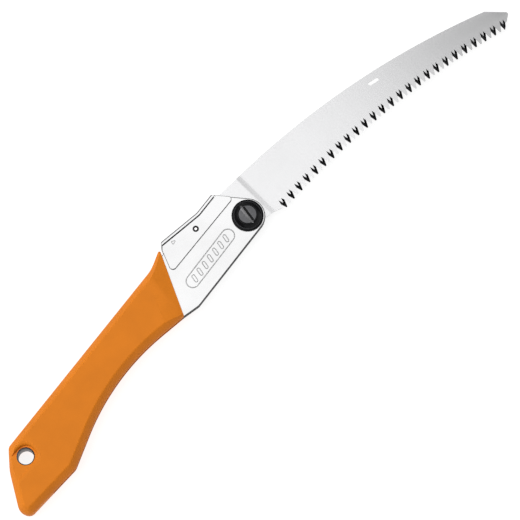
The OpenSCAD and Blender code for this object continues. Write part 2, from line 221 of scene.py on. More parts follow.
# Joins several sets of points and faces into one
def together(*parts):
    points, faces, count = [], [], 0
    for p, f in parts:
        points.append(np.asarray(p, float))
        faces += [[i + count for i in face] for face in f]
        count += len(p)
    return np.concatenate(points), faces


# A profile of [radius, height] turned round an upright axis; a radius of zero closes at a pole
def turned(profile, centre=(0, 0), count=96):
    profile = np.asarray(profile, float)
    t = np.linspace(0, 2 * math.pi, count, endpoint=False)
    x = centre[0] + profile[:, 0, None] * np.cos(t)
    y = centre[1] + profile[:, 0, None] * np.sin(t)
    z = np.broadcast_to(profile[:, 1, None], x.shape)
    closed = not np.allclose(profile[[0, -1], 0], 0)
    return np.stack([x, y, z], -1).reshape(-1, 3), gridFaces(len(profile), count, True, closed)


# Eases each inner corner of a profile with a small arc made of three points
def eased(profile, ease):
    p = np.asarray(profile, float)
    here, before, after = p[1:-1], p[:-2], p[2:]
    back, on = before - here, after - here
    backLength, onLength = (np.linalg.norm(side, axis=1)[:, None] for side in (back, on))
    a = here + back / backLength * np.minimum(ease, backLength * 0.4)
    b = here + on / onLength * np.minimum(ease, onLength * 0.4)
    middle = (a + b + 2 * here) / 4
    return np.concatenate([p[:1], np.stack([a, middle, b], 1).reshape(-1, 2), p[-1:]])


# A half-round bead carried along a closed ring on a face; it is sunk a little so that it joins the face
def bead(ring, width, height, level, side=1, sunk=0.02):
    t = np.linspace(0, math.pi, 7)
    rows = ring[None] + ringNormals(ring)[None] * (width * np.cos(t))[:, None, None]
    z = (level + side * (height * np.sin(t) - sunk))[:, None, None]
    rows = np.concatenate([rows, np.broadcast_to(z, rows.shape[:2] + (1,))], 2)
    return rows.reshape(-1, 3), gridFaces(len(t), len(ring), True, True)


# A block with a drawn outline between two heights
def block(outline, low, high):
    outline = np.asarray(outline, float)
    n = len(outline)
    points = np.concatenate([np.c_[outline, np.full(n, low)], np.c_[outline, np.full(n, high)]])
    return points, [list(range(n))[::-1], list(range(n, 2 * n))] + gridFaces(2, n, True)


# Takes the cutter's space out of the piece; the cut faces keep the cutter's material where it has one
def carve(piece, points, faces, material=None):
    cutter = makePiece("cutter", points, faces, material or piece.data.materials[0])
    change = piece.modifiers.new("carve", "BOOLEAN")
    change.operation, change.solver, change.object = "DIFFERENCE", "EXACT", cutter
    change.material_mode = "TRANSFER"
    cut = bpy.data.meshes.new_from_object(piece.evaluated_get(bpy.context.evaluated_depsgraph_get()))
    piece.modifiers.clear()
    old, name = piece.data, piece.data.name
    piece.data = cut
    bpy.data.meshes.remove(old)
    cut.name = name
    bpy.data.objects.remove(cutter)
    smoothOver(piece)


# The upright faces of a sheet are its sheared edges; they take its second material, a near black painted on
# as shade along the edges
def paintEdgeShade(piece):
    upright = np.abs(faceNormals(piece.data)[:, 2]) < 0.78
    piece.data.polygons.foreach_set("material_index", upright.astype(np.int32))


def finishPiece(piece, body, slot, *nodes):
    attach(piece, body)
    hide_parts(*nodes)
    print("piece", piece.name, len(piece.data.polygons), "faces")


# One output socket; expressions on it add their Math nodes
class Wire:
    def __init__(self, tree, socket):
        self.tree, self.socket = tree, socket

    def maths(self, operation, a, b):
        made = self.tree.nodes.new("ShaderNodeMath")
        made.operation = operation
        for where, value in zip(made.inputs, (a, b)):
            connect(self.tree, where, value)
        return Wire(self.tree, made.outputs[0])

    def __add__(self, other):
        return self.maths("ADD", self, other)

    def __sub__(self, other):
        return self.maths("SUBTRACT", self, other)

    def __rsub__(self, other):
        return self.maths("SUBTRACT", other, self)

    def __mul__(self, other):
        return self.maths("MULTIPLY", self, other)

    __radd__, __rmul__ = __add__, __mul__


def connect(tree, where, value):
    if isinstance(value, Wire):
        tree.links.new(value.socket, where)
    elif isinstance(value, (tuple, list)) and len(value) == 3 and where.type == "RGBA":
        where.default_value = (*value, 1)
    else:
        where.default_value = value


# One material: constants go straight onto the shader's sockets, and varying values are linked
class Finish:
    def __init__(self, name, **constants):
        self.material = bpy.data.materials.new(name)
        self.material.use_nodes = True
        self.tree = self.material.node_tree
        self.shader = self.tree.nodes["Principled BSDF"]
        for key, value in constants.items():
            self.set(key.replace("_", " "), value)
        self.place = self.node("ShaderNodeTexCoord", output="Object")

    def set(self, socket, value):
        connect(self.tree, self.shader.inputs[socket], value)

    # Any other node: its type, its settings, and the values or links of its sockets by name or number
    def node(self, kind, settings=None, values=None, output=0):
        made = self.tree.nodes.new(kind)
        for key, value in (settings or {}).items():
            setattr(made, key, value)
        for key, value in (values or {}).items():
            connect(self.tree, made.inputs[key], value)
        return Wire(self.tree, made.outputs[output])

    def stretched(self, scale):
        return self.node("ShaderNodeMapping", {}, {"Scale": scale, "Vector": self.place})

    def noise(self, where, scale, detail=3.0, roughness=0.55):
        return self.node("ShaderNodeTexNoise", {}, {"Vector": where, "Scale": scale, "Detail": detail,
                                                    "Roughness": roughness})

    def mix(self, share, a, b):
        return self.node("ShaderNodeMix", {"data_type": "RGBA"}, {0: share, 6: a, 7: b}, 2)

    # The share of the way from low to high, held between 0 and 1
    def between(self, value, low, high):
        return self.node("ShaderNodeMapRange", {"interpolation_type": "SMOOTHSTEP"},
                         {"Value": value, "From Min": low, "From Max": high})

    def bump(self, height, distance, strength=1.0):
        self.set("Normal", self.node("ShaderNodeBump", {}, {"Height": height, "Distance": distance,
                                                            "Strength": strength}))


def tint(colour, factor):
    return tuple(min(1.0, c * factor) for c in colour)


# Steel and brass finishes: cloudy tone, fine grinding lines stretched along one axis, and a light bump.
# The colour is varied first by the tone; shade is a function that changes it again where one is given
def metalFinish(name, colour, rough, lines=(900, 60, 60), cloud=0.06, lineRough=0.06, depth=0.004,
                shade=None):
    f = Finish(name, Metallic=1.0)
    cloudy = f.noise(f.place, 45.0)
    ground = f.noise(f.stretched(lines), 1.0, 2.0)
    tone = f.between(cloudy * 0.7 + ground * 0.3, 0.35, 0.65)
    varied = f.mix(tone, tint(colour, 1 - cloud), tint(colour, 1 + cloud))
    f.set("Base Color", shade(f, varied) if shade else varied)
    f.set("Roughness", ground * lineRough + cloudy * lineRough + (rough - lineRough))
    f.bump(ground, depth * mm)
    return f


look = {
    # the facet colour is a painted dark reflection for the ground tooth facets
    "blade": (0.475, 0.475, 0.48), "bladeRough": 0.30, "facet": (0.03, 0.03, 0.032),
    "nickel": (0.432, 0.432, 0.434), "nickelRough": 0.2,
    # the edge colour is painted shade for the upright faces of the sheets
    "edgeShade": (0.04, 0.037, 0.04), "edgeShadeRough": 0.42,
    "rubber": (0.82, 0.232, 0.009), "rubberRough": 0.62,
    "black": (0.005, 0.005, 0.006), "blackRough": 0.26,
    # the rim grey is a painted highlight on the flange washer
    "darkSteelAndHoleShade": (0.10, 0.10, 0.105), "slotGrey": (0.24, 0.238, 0.245), "rimHighlight": (0.11, 0.11, 0.12),
    "pin": (0.70, 0.70, 0.69), "zinc": (0.58, 0.58, 0.60), "bronze": (0.60, 0.38, 0.17),
    "nylon": (0.05, 0.05, 0.055),
}
# Where shade is painted into the blade's colour, in millimetres from the pivot: the darker band on its
# shoulder, from which the step rises and over which it fades, and the stretch over which it is painted greyer
# towards the nose
bladeShade = {"shoulder": (11.4, 12.7, 17.5), "shoulderFoot": -12, "shoulderTop": 20, "shoulderTint": 0.84,
        "noseFrom": 70, "noseTo": 230, "noseTint": 0.70}


# Painted shade: darkens a band over the shoulder, more towards the back, and greys the blade towards the nose
def bladePaintedShade(f, satin):
    x = f.node("ShaderNodeSeparateXYZ", {}, {"Vector": f.place}, "X")
    y = f.node("ShaderNodeSeparateXYZ", {}, {"Vector": f.place}, "Y")
    start, crest, end = (pivot[0] + place * mm for place in bladeShade["shoulder"])
    foot, top = (pivot[1] + bladeShade[key] * mm for key in ("shoulderFoot", "shoulderTop"))
    rise, fall = f.between(x, start, crest), 1 - f.between(x, crest, end)
    band = rise * fall * (f.between(y, foot, top) * 0.75 + 0.25)
    nosewards = f.between(x, pivot[0] + bladeShade["noseFrom"] * mm, pivot[0] + bladeShade["noseTo"] * mm)
    toneShift = f.mix(nosewards, satin, tint(look["blade"], bladeShade["noseTint"]))
    return f.mix(band, toneShift, tint(look["blade"], bladeShade["shoulderTint"]))


bladeSteel = metalFinish("blade_satin", look["blade"], look["bladeRough"], (1400, 50, 50), 0.03,
                         shade=bladePaintedShade)
# The teeth's ground facets are painted near black: a painted dark reflection of the surroundings they would
# mirror
toothFacetShade = metalFinish("tooth_facet_painted_dark", look["facet"], 0.2, (200, 200, 2500), 0.2)
nickel = metalFinish("bright_nickel", look["nickel"], look["nickelRough"], (60, 60, 60), 0.035, 0.03, 0.002)
# Painted shade: a near black for the edges of the frame and lever and for the rivet's outer ring
edgeShade = metalFinish("painted_edge_shade", look["edgeShade"], look["edgeShadeRough"], (60, 60, 1500), 0.15)
pinSteel = metalFinish("pin_steel", look["pin"], 0.22, (500, 500, 40))
zincSteel = metalFinish("zinc_steel", look["zinc"], 0.34, (300, 300, 60), 0.1)
bronze = metalFinish("oiled_bronze", look["bronze"], 0.3, (400, 400, 40), 0.12)
slotSteel = metalFinish("slot_steel", look["slotGrey"], 0.4, (500, 500, 50), 0.1)
# The bolt's own dark grey, also used on the hang hole's tube as painted shade
darkSteelAndHoleShade = metalFinish("blackened_steel_and_hole_shade", look["darkSteelAndHoleShade"], 0.46, (700, 700, 50), 0.22, depth=0.01)

# Moulded rubber: a fine pebble in the bump, a soft mottle in the colour, and a duller skin in the
# hollows of the pebble
gripRubber = Finish("grip_rubber", IOR=1.47, Specular_IOR_Level=0.25)
pebble = gripRubber.noise(gripRubber.place, 2600.0, 2.0)
mottle = gripRubber.noise(gripRubber.place, 70.0, 4.0)
gripRubber.set("Base Color", gripRubber.mix(gripRubber.between(mottle * 0.5 + pebble * 0.5, 0.35, 0.65),
                                            tint(look["rubber"], 0.95), tint(look["rubber"], 1.05)))
gripRubber.set("Roughness", look["rubberRough"] + 0.1 - pebble * 0.16)
gripRubber.bump(pebble, 0.03 * mm, 0.7)


# Moulded plastics: a smooth skin with faint flow marks and specks of dust
def plasticFinish(name, colour, rough, toneShift=2.2):
    f = Finish(name, IOR=1.5, Specular_IOR_Level=0.1)
    flow = f.noise(f.place, 120.0)
    speck = f.noise(f.place, 1800.0, 1.0)
    f.set("Base Color", f.mix(f.between(flow * 0.6 + speck * 0.4, 0.45, 0.7), colour, tint(colour, toneShift)))
    f.set("Roughness", flow * 0.08 + speck * 0.06 + (rough - 0.07))
    f.bump(speck, 0.004 * mm, 0.5)
    return f


# The gloss black is the caps' own colour, and is also painted into the bolt's deep slot as shadow
glossBlackAndShadow = plasticFinish("gloss_black_and_slot_shadow", look["black"], look["blackRough"])
# A lighter grey ring painted on the flange as a highlight
rimHighlight = plasticFinish("painted_rim_highlight", look["rimHighlight"], 0.4, 1.3)
nylonBlack = plasticFinish("nylon_black", look["nylon"], 0.5)
print("finishes ready")

# The camera looks at a point from a direction and a distance, all from the pivot
view = {"azimuth": -44.8, "elevation": 80, "distance": 3.0, "lens": 315.6, "aim": (-14.7, -26.4, 0)}
cameraData = bpy.data.cameras.new("camera")
cameraData.lens, cameraData.sensor_width = view["lens"], 36
cameraData.clip_start, cameraData.clip_end = 0.05, 20
camera = bpy.data.objects.new("camera", cameraData)
bpy.context.scene.collection.objects.link(camera)
az, el = math.radians(view["azimuth"]), math.radians(view["elevation"])
outward = Vector((math.sin(az) * math.cos(el), -math.cos(az) * math.cos(el), math.sin(el)))
camera.location = Vector(toRow(view["aim"])) + outward * view["distance"]
camera.rotation_mode = "QUATERNION"
camera.rotation_quaternion = (-outward).to_track_quat("-Z", "Y")
bpy.context.scene.camera = camera
bpy.context.scene.view_settings.view_transform = "Standard"

# One large soft light overhead, an even room, and a floor that glows a little
studio = {"height": 2.2, "sizeX": 3.6, "sizeY": 3.6, "centreX": -1.05, "centreY": 1.3, "radiance": 2.05,
          "room": 0.19, "backlight": 0.84, "floorHalf": 6, "floorDrop": 0.2, "paper": (0.30, 0.33)}
lamp = bpy.data.lights.new("softbox", "AREA")
lamp.shape, lamp.size, lamp.size_y = "RECTANGLE", studio["sizeX"], studio["sizeY"]
lamp.energy = studio["radiance"] * math.pi * studio["sizeX"] * studio["sizeY"]
softbox = bpy.data.objects.new("softbox", lamp)
softbox.location = (studio["centreX"], studio["centreY"], studio["height"])
softbox.visible_camera = False
bpy.context.scene.collection.objects.link(softbox)
room = bpy.data.worlds.new("room")
room.use_nodes = True
room.node_tree.nodes["Background"].inputs["Color"].default_value = (1, 1, 1, 1)
room.node_tree.nodes["Background"].inputs["Strength"].default_value = studio["room"]
bpy.context.scene.world = room

paper = Finish("paper_floor", Roughness=0.9, Emission_Strength=studio["backlight"])
grain = paper.between(paper.noise(paper.place, 30.0), 0.3, 0.7)
paper.set("Base Color", paper.mix(grain, *((grey,) * 3 for grey in studio["paper"])))
corners = np.array([[-1, -1], [1, -1], [1, 1], [-1, 1]]) * studio["floorHalf"]
floorData = bpy.data.meshes.new("floor")
floorData.from_pydata([(x, y, -studio["floorDrop"] * mm) for x, y in corners.tolist()], [], [(0, 1, 2, 3)])
floorData.materials.append(paper.material)
floor = bpy.data.objects.new("floor", floorData)
bpy.context.scene.collection.objects.link(floor)
print("stage ready")

# The blade. Teeth stand on a circle, the back is another, and both run from the tang to the nose
blade = {
    "toothCentre": (62, -612.3), "toothRadius": 600, "pitch": 3.78, "teeth": 51, "firstTooth": -38.5,
    "depth": 4.2, "lean": 0.45, "point": 0.9, "tipLand": 0.05, "facetEdge": 0.45, "ridge": 0.30,
    "crotch": (-0.1, 3.5), "upperLeft": (-1.1, 6.9), "upperRight": (1.25, 6.7), "stripTop": 7.5,
    "thick": 1.2, "hollow": 0.1365, "hollowShare": 0.62, "hollowFrom": 22, "hollowRun": 30,
    "backCentre": (12, -536.8), "backRadius": 560, "backSpan": (19.5, 205.5), "backEnd": 209, "rows": 14,
    "nose": (220.2, -24.24), "noseRadius": 1.5, "noseSteps": 6, "frontLength": 6.6,
    "heelAhead": 2.7, "heelRise": 1.3, "heelCorner": (16.2, -10.5),
    "rampStart": 12.5, "rampLow": -9.55, "rampMiddle": -6.0,
    "rampEnd": 15.5, "heelLow": -10.3, "heelMiddle": -6.3,
    "tangThick": 1.5, "tangCorner": (-3.6, 23.2), "tangFoot": (9.6, -9.3), "rimRadius": 19,
    "rimDegrees": (103, 196), "footRadius": 10.4, "footDegrees": (236, 302), "bore": 5.07,
    "slotLength": 5.4, "slotRadius": 1.15, "slotCentre": (123.2, 5.7), "slotAngle": -12, "cut": 3,
}
halfPitch = blade["pitch"] / 2
face = blade["thick"] / 2
lastTooth = blade["firstTooth"] + (blade["teeth"] - 1) * blade["pitch"]


# A point s along the curved tooth line and h above it: the line is a circle's top
def alongTeeth(s, h):
    a = np.asarray(s, float) / blade["toothRadius"]
    r = blade["toothRadius"] + np.asarray(h, float)
    return np.stack([blade["toothCentre"][0] + r * np.sin(a), blade["toothCentre"][1] + r * np.cos(a)], -1)


# The back's circle at x
def backAt(x):
    x = np.asarray(x, float)
    rise = np.sqrt(blade["backRadius"] ** 2 - (x - blade["backCentre"][0]) ** 2)
    return np.stack([x, blade["backCentre"][1] + rise], -1)


# One tooth as numbers: both facets slope from the near face down past the tooth's edge, and meet in a
# ridge. Even teeth are ground from above and odd teeth from below, so for an odd tooth z and the faces
# are turned over
def toothCell():
    tip, half = -blade["lean"], blade["point"] / 2
    low, edge, top = -face, -blade["facetEdge"], blade["stripTop"]
    flat = low + blade["tipLand"]
    left, right = blade["upperLeft"][0], blade["upperRight"][0]
    names = {
        "tl": (tip - half, 0, flat), "tc": (tip, 0, -blade["ridge"]), "tr": (tip + half, 0, flat),
        "bl": (tip - half, 0, low), "br": (tip + half, 0, low),
        "gl0": (-halfPitch, blade["depth"], low), "gl1": (-halfPitch, blade["depth"], edge),
        "gl2": (-halfPitch, blade["depth"], -edge), "gl3": (-halfPitch, blade["depth"], face),
        "gr0": (halfPitch, blade["depth"], low), "gr1": (halfPitch, blade["depth"], edge),
        "gr2": (halfPitch, blade["depth"], -edge), "gr3": (halfPitch, blade["depth"], face),
        "cr": (*blade["crotch"], face), "ul": (*blade["upperLeft"], face), "ur": (*blade["upperRight"], face),
        "xl": (-halfPitch, top, face), "vl": (left, top, face), "vr": (right, top, face),
        "xr": (halfPitch, top, face), "yl": (-halfPitch, top, low), "wl": (left, top, low),
        "wr": (right, top, low), "yr": (halfPitch, top, low),
    }
    order = {key: i for i, key in enumerate(names)}
    # The ground faces take the second material, painted near black as a dark reflection
    plain = ["cr ur vr vl ul", "gl3 ul vl xl", "ur gr3 xr vr", "br bl gl0 yl wl wr yr gr0"]
    ground = ["tl tc cr ul gl1", "tc tr gr1 ur cr", "gl1 ul gl3 gl2", "gr1 gr2 gr3 ur", "bl tl gl1 gl0",
              "tr br gr0 gr1", "bl br tr tc tl"]
    faces = [[order[k] for k in text.split()] for text in plain + ground]
    return np.array(list(names.values())), faces, [0] * len(plain) + [1] * len(ground)


# The cell repeated along the tooth line, first the even teeth and then the odd ones
def toothRows():
    parts, marks = [], []
    cell, cellFaces, cellMarks = toothCell()
    for odd in (0, 1):
        s = blade["firstTooth"] + blade["pitch"] * np.arange(odd, blade["teeth"], 2)
        flip = -1 if odd else 1
        xy = alongTeeth(s[:, None] + cell[None, :, 0], np.broadcast_to(cell[:, 1], (len(s), len(cell))))
        z = np.broadcast_to(cell[:, 2] * flip, (len(s), len(cell)))
        faces = [[i + k * len(cell) for i in f[::flip]] for k in range(len(s)) for f in cellFaces]
        parts.append((np.concatenate([xy, z[..., None]], -1).reshape(-1, 3), faces))
        marks += cellMarks * len(s)
    return parts, marks


# Half the blade's thickness: full at the teeth, ground hollow in the middle, a little thicker again at
# the back; along eases the hollow in from the tang
def halfThickness(across, along):
    dip = blade["hollow"] * np.sin(math.pi * across * blade["hollowShare"]) ** 2
    return face - dip * along ** 2 * (3 - 2 * along)


# The nose's edge: an arc tangent to the foot line and the front line, then the front line up to the
# back. Also gives the foot line's direction away from the nose
def noseEdge(rows):
    nose, noseBack = np.array(blade["nose"]), backAt(blade["backEnd"])
    u, v = alongTeeth(lastTooth + halfPitch, 3) - nose, noseBack - nose
    u, v = u / np.linalg.norm(u), v / np.linalg.norm(v)
    half = math.acos(float(u @ v)) / 2
    centre = nose + (u + v) / np.linalg.norm(u + v) * blade["noseRadius"] / math.sin(half)
    reach = blade["noseRadius"] / math.tan(half)
    start, end = nose + u * reach - centre, nose + v * reach - centre
    startAngle = math.atan2(start[1], start[0])
    sweep = (math.atan2(end[1], end[0]) - startAngle + math.pi) % (2 * math.pi) - math.pi
    t = startAngle + sweep * np.linspace(0, 1, blade["noseSteps"])
    arc = centre + blade["noseRadius"] * np.stack([np.cos(t), np.sin(t)], 1)
    share = np.linspace(0, 1, rows - blade["noseSteps"] + 1)[1:, None]
    return np.concatenate([arc, arc[-1] + (noseBack - arc[-1]) * share]), u


# A face on each side of the blade over the same outline
def lids(outline, heights):
    ring = list(range(len(outline)))
    heights = np.broadcast_to(np.asarray(heights, float), len(outline))
    return [(np.c_[outline, heights], [ring]), (np.c_[outline, -heights], [ring[::-1]])]


# The wall between both sides along an open line
def wall(line, heights):
    heights = np.broadcast_to(np.asarray(heights, float), len(line))
    return [(np.concatenate([np.c_[line, heights], np.c_[line, -heights]]), gridFaces(2, len(line)))]


# An upright line of points at x, from low to the back
def uprightRow(x, low, across):
    return np.stack([np.full(len(across), x), low + across * (backAt(x)[1] - low)], 1)


def bladeMesh():
    parts, marks = toothRows()
    # The body: columns from the strip's top line to the back, rows spaced evenly between
    cellColumns = np.array([-halfPitch, blade["upperLeft"][0], blade["upperRight"][0]])
    s = (blade["firstTooth"] + blade["pitch"] * np.arange(blade["teeth"])[:, None] + cellColumns).ravel()
    s = np.append(s, lastTooth + halfPitch)
    rows = blade["rows"]
    across = np.linspace(0, 1, rows)
    bottom = alongTeeth(s, blade["stripTop"])
    backFrom, backTo = blade["backSpan"]
    top = backAt(backFrom + (backTo - backFrom) * (s - s[0]) / (s[-1] - s[0]))
    body = bottom[None] * (1 - across[:, None, None]) + top[None] * across[:, None, None]
    tangRow = uprightRow(blade["rampStart"], blade["rampMiddle"], across)
    heelRow = uprightRow(blade["rampEnd"], blade["heelMiddle"], across)
    noseRow, footDirection = noseEdge(rows)
    columns = np.concatenate([tangRow[:, None], heelRow[:, None], body, noseRow[:, None]], 1)
    along = np.clip((columns[..., 0] - blade["hollowFrom"]) / blade["hollowRun"], 0, 1)
    half = halfThickness(np.broadcast_to(across[:, None], along.shape), along)
    half[:, 0] = blade["tangThick"] / 2
    upper, lower = (np.concatenate([columns, side * half[..., None]], -1) for side in (1, -1))
    n = columns.shape[1]
    grid = gridFaces(rows, n)
    parts += [(upper.reshape(-1, 3), grid), (lower.reshape(-1, 3), [f[::-1] for f in grid]),
              (np.concatenate([upper[-1], lower[-1]]), gridFaces(2, n)),
              (np.concatenate([upper[:, -1], lower[:, -1]]), gridFaces(2, rows))]
    # The flat corners under the first and past the last tooth, and the tang's outline up to the step
    heel = alongTeeth(blade["firstTooth"] - blade["heelAhead"], blade["heelRise"])
    firstGullet = alongTeeth(blade["firstTooth"] - halfPitch, blade["depth"])
    lastGullet = alongTeeth(lastTooth + halfPitch, blade["depth"])
    corner = np.array(blade["nose"]) + footDirection * blade["frontLength"]
    rampLow, heelLow = (blade["rampStart"], blade["rampLow"]), (blade["rampEnd"], blade["heelLow"])
    rim = np.radians(np.linspace(*blade["rimDegrees"], 60))
    under = np.radians(np.linspace(*blade["footDegrees"], 20))
    tang = np.concatenate([
        [tangRow[-1], blade["tangCorner"]], blade["rimRadius"] * np.stack([np.cos(rim), np.sin(rim)], 1),
        blade["footRadius"] * np.stack([np.cos(under), np.sin(under)], 1),
        [blade["tangFoot"], rampLow], tangRow[:-1]])
    thick = blade["tangThick"] / 2
    parts += lids(tang, thick) + wall(tang[:-rows + 1], thick)
    parts += lids([rampLow, heelLow, heelRow[0], tangRow[0]], [thick, face, face, thick])
    parts += wall([rampLow, heelLow], [thick, face])
    parts += lids([heelLow, blade["heelCorner"], heel, firstGullet, bottom[0], heelRow[0]], face)
    parts += wall([heelLow, blade["heelCorner"], heel], face)
    parts += lids([lastGullet, corner, noseRow[0], bottom[-1]], face) + wall([corner, noseRow[0]], face)
    levels = np.array([-face, -blade["facetEdge"], blade["facetEdge"], face])
    for gullet, beside in ((firstGullet, heel), (lastGullet, corner)):
        stack = np.concatenate([np.c_[np.tile(gullet, (4, 1)), levels], [[*beside, face], [*beside, -face]]])
        parts.append((stack, [[0, 1, 2, 3, 4, 5]]))
    points, faces = together(*parts)
    return points, faces, marks + [0] * (len(faces) - len(marks)), footDirection


points, faces, marks, footDirection = bladeMesh()
bladePiece = makePiece("saw_blade", points, faces, bladeSteel.material, toothFacetShade.material, marks=marks)

# What the nose's front edge cuts off the last tooth, a hair outside the edge itself
outside = np.array([-footDirection[1], footDirection[0]])
noseClip = np.array([blade["nose"] + footDirection * 2, blade["nose"] + footDirection * 13])
noseClip = np.concatenate([noseClip + outside * 0.02, (noseClip + outside * 6)[::-1]])

# The pawl's tooth in the lever's frame: cut into the rim where the pawl is locked, and again a step on
notch = {"axis": (-30.6, 17.6), "x": -8.6, "halfTip": 1.5, "halfRoot": 2.0, "rootTop": 22.5,
         "radius": 19.35, "gap": 0.2, "lock": -5, "step": 20}
tips = notch["x"] + np.array([-1, 1]) * (notch["halfTip"] + notch["gap"])
roots = notch["x"] + np.array([1, -1]) * (notch["halfRoot"] + notch["gap"])
tooth = np.concatenate([np.c_[tips, np.sqrt(notch["radius"] ** 2 - tips ** 2) - notch["gap"]],
                        np.c_[roots, np.full(2, notch["rootTop"])]])
locked = turnedBy(tooth, np.array(notch["axis"]), notch["lock"])
bladeSlot = stadium(blade["slotLength"], blade["slotRadius"], blade["slotCentre"], blade["slotAngle"])
cuts = [circleRing((0, 0), blade["bore"], 96), locked, turnedBy(locked, np.zeros(2), notch["step"]),
        bladeSlot, noseClip]
carve(bladePiece, *together(*(block(outline, -blade["cut"], blade["cut"]) for outline in cuts)))
finishPiece(bladePiece, "blade", "blade_steel", "blade")

# The frame. Its front and belly lines touch the round head, at these angles
steel = {"half": 1.8, "out": 3.3, "head": 11.6, "roll": 0.55, "frameTop": 20.8,
         "bolt": 3.02, "pin": 1.62, "eyelet": 6.02, "frontAngle": 40.2, "bellyAngle": -82.4,
         "beadWidth": 0.34, "beadHeight": 0.3, "webDepth": 1.5}
frontDir, bellyDir = (np.array([math.cos(math.radians(steel[key])), math.sin(math.radians(steel[key]))])
                      for key in ("frontAngle", "bellyAngle"))
top = steel["frameTop"]


def frontLineX(y):
    return (steel["head"] - frontDir[1] * y) / frontDir[0]


# The frame's outline: its rounded corners, then the round end between the two lines that touch it
cornerSpan = 2 * steel["head"] / (1 + float(frontDir @ bellyDir))  # where both lines would meet
frameCorners = [
    [frontLineX(top), top, 1.5], [-66, top, 4], [-72, 14.9, 20], [-219, -3.3, 5], [-236, -31, 8],
    [-226.2, -37.2, 4], [-195.2, -35.8, 8], [-137.6, -10.2, 150], [-83, -15.2, 3], [-78.5, -18.3, 1],
    [-65, (steel["head"] + bellyDir[0] * 65) / bellyDir[1], 3],
    [*(cornerSpan / 2 * (frontDir + bellyDir)), steel["head"]]]
frameRing = roundedRing(frameCorners)
cheekHoles = [circleRing((0, 0), steel["bolt"], 48, True), circleRing(pinCentre, steel["pin"], 32, True),
              circleRing(hangCentre, steel["eyelet"], 48, True)]
# The web joins both cheeks along the back
web = roundedRing([
    [-5, top - 0.05, 0.3], [-66, top - 0.05, 4], [-72, 14.85, 20], [-217, -3.1, 0.3],
    [-217, -3.1 - steel["webDepth"], 0.3], [-72, 14.85 - steel["webDepth"], 20],
    [-66, top - steel["webDepth"], 4], [-5, top - steel["webDepth"], 0.3]])

# A row of leaning ribs in a round-ended rim, raised on both cheeks
badge = {"centre": (-37.5, -3), "angle": 8, "length": 38, "radius": 4.4, "ribs": 7, "ribPitch": 5.6,
         "ribLength": 3.4, "ribRadius": 1.0, "ribLean": 72, "ribBead": 0.8}
badgeAngle = math.radians(badge["angle"])
ribPlaces = (np.arange(badge["ribs"]) - (badge["ribs"] - 1) / 2) * badge["ribPitch"]
ribCentres = np.array(badge["centre"]) + ribPlaces[:, None] * [math.cos(badgeAngle), math.sin(badgeAngle)]
badgeRings = [(stadium(badge["length"], badge["radius"], badge["centre"], badge["angle"], 20), 1)]
badgeRings += [(stadium(badge["ribLength"], badge["ribRadius"], centre, badge["angle"] + badge["ribLean"]),
                badge["ribBead"]) for centre in ribCentres]
frameParts = [block(web, -steel["half"], steel["half"])]
for side in (1, -1):
    low, high = sorted((side * steel["half"], side * steel["out"]))
    frameParts.append(platePoints(frameRing, cheekHoles, low, high, steel["roll"]))
    level = side * steel["out"]
    frameParts += [bead(ring, steel["beadWidth"] * share, steel["beadHeight"] * share, level, side)
                   for ring, share in badgeRings]
framePiece = makePiece("steel_frame", *together(*frameParts), nickel.material, edgeShade.material)
# Its upright edges take the painted shade
paintEdgeShade(framePiece)
finishPiece(framePiece, "frame", "nickel", "handle_frame")

# The lock lever: two cheeks, and a back bent round from one to the other
lever = {"inner": 3.5, "roll": 0.3, "bend": 2.5, "gap": 0.24, "sheet": 1.2, "bendRadius": 1.25,
         "pinHole": 1.65, "arrow": (-47, 21.6), "arrowWidth": 0.22, "arrowHeight": 0.16, "step": 1.5}
leverCorners = [
    [frontLineX(15), 15, 2], [frontLineX(26.8), 26.8, 0.6], [-22.6, 24.9, 6], [-53.1, 27.5, 1.2],
    [-55.6, 24.8, 1.5], [-62.4, 7.7, 2.6]]
backSides = [0, 1, 1, 0.3, 0, 0]
# The cheeks stop at the crease where the sheet starts to bend over the back
cheekRing = roundedRing(leverCorners, lever["bend"] + lever["gap"], backSides, lever["step"])
pinHole = circleRing(pinCentre, lever["pinHole"], 32, True)
arrow = np.array([[-1.5, -1.1, 0.3], [1.6, -0.1, 0.3], [-1.2, 1.3, 0.3]]) + [*lever["arrow"], 0]
leverParts = []
for side in (1, -1):
    low, high = sorted((side * lever["inner"], side * halfLever))
    leverParts.append(platePoints(cheekRing, [pinHole], low, high, lever["roll"]))
    leverParts.append(bead(roundedRing(arrow, step=1), lever["arrowWidth"], lever["arrowHeight"],
                           side * halfLever, side))


# The bent back: a channel's section of [depth from the back, height], carried along the back from front
# to rear
def bentBack():
    r, e, b = lever["bendRadius"], lever["roll"], lever["bend"] - lever["gap"]
    t = np.linspace(0, math.pi / 2, 7)
    half = np.concatenate([
        [[lever["sheet"], lever["inner"]], [b, lever["inner"]]],
        np.stack([b - e + e * np.cos(t[::2]), halfLever - e + e * np.sin(t[::2])], 1),
        np.stack([r - r * np.sin(t), halfLever - r + r * np.cos(t)], 1)])
    section = np.concatenate([half, half[::-1] * [1, -1]])
    # The arcs and sides from the front upper corner to the rear one
    rows = [np.concatenate(ringParts(leverCorners, depth, backSides, lever["step"])[2:9])
            for depth in section[:, 0]]
    points = np.stack([np.c_[row, np.full(len(row), height)] for row, height in zip(rows, section[:, 1])])
    n, m = points.shape[:2]
    flat = np.array(tessellate_polygon([[Vector((depth, height, 0)) for depth, height in section]]))
    ends = (flat * m).tolist() + (flat * m + m - 1).tolist()
    return points.reshape(-1, 3), gridFaces(n, m, closeRows=True) + ends


leverParts.append(bentBack())
leverPiece = makePiece("lock_lever_sheet", *together(*leverParts), nickel.material, edgeShade.material)
# Its upright edges take the painted shade
paintEdgeShade(leverPiece)
finishPiece(leverPiece, "lever", "nickel", "lock_lever")

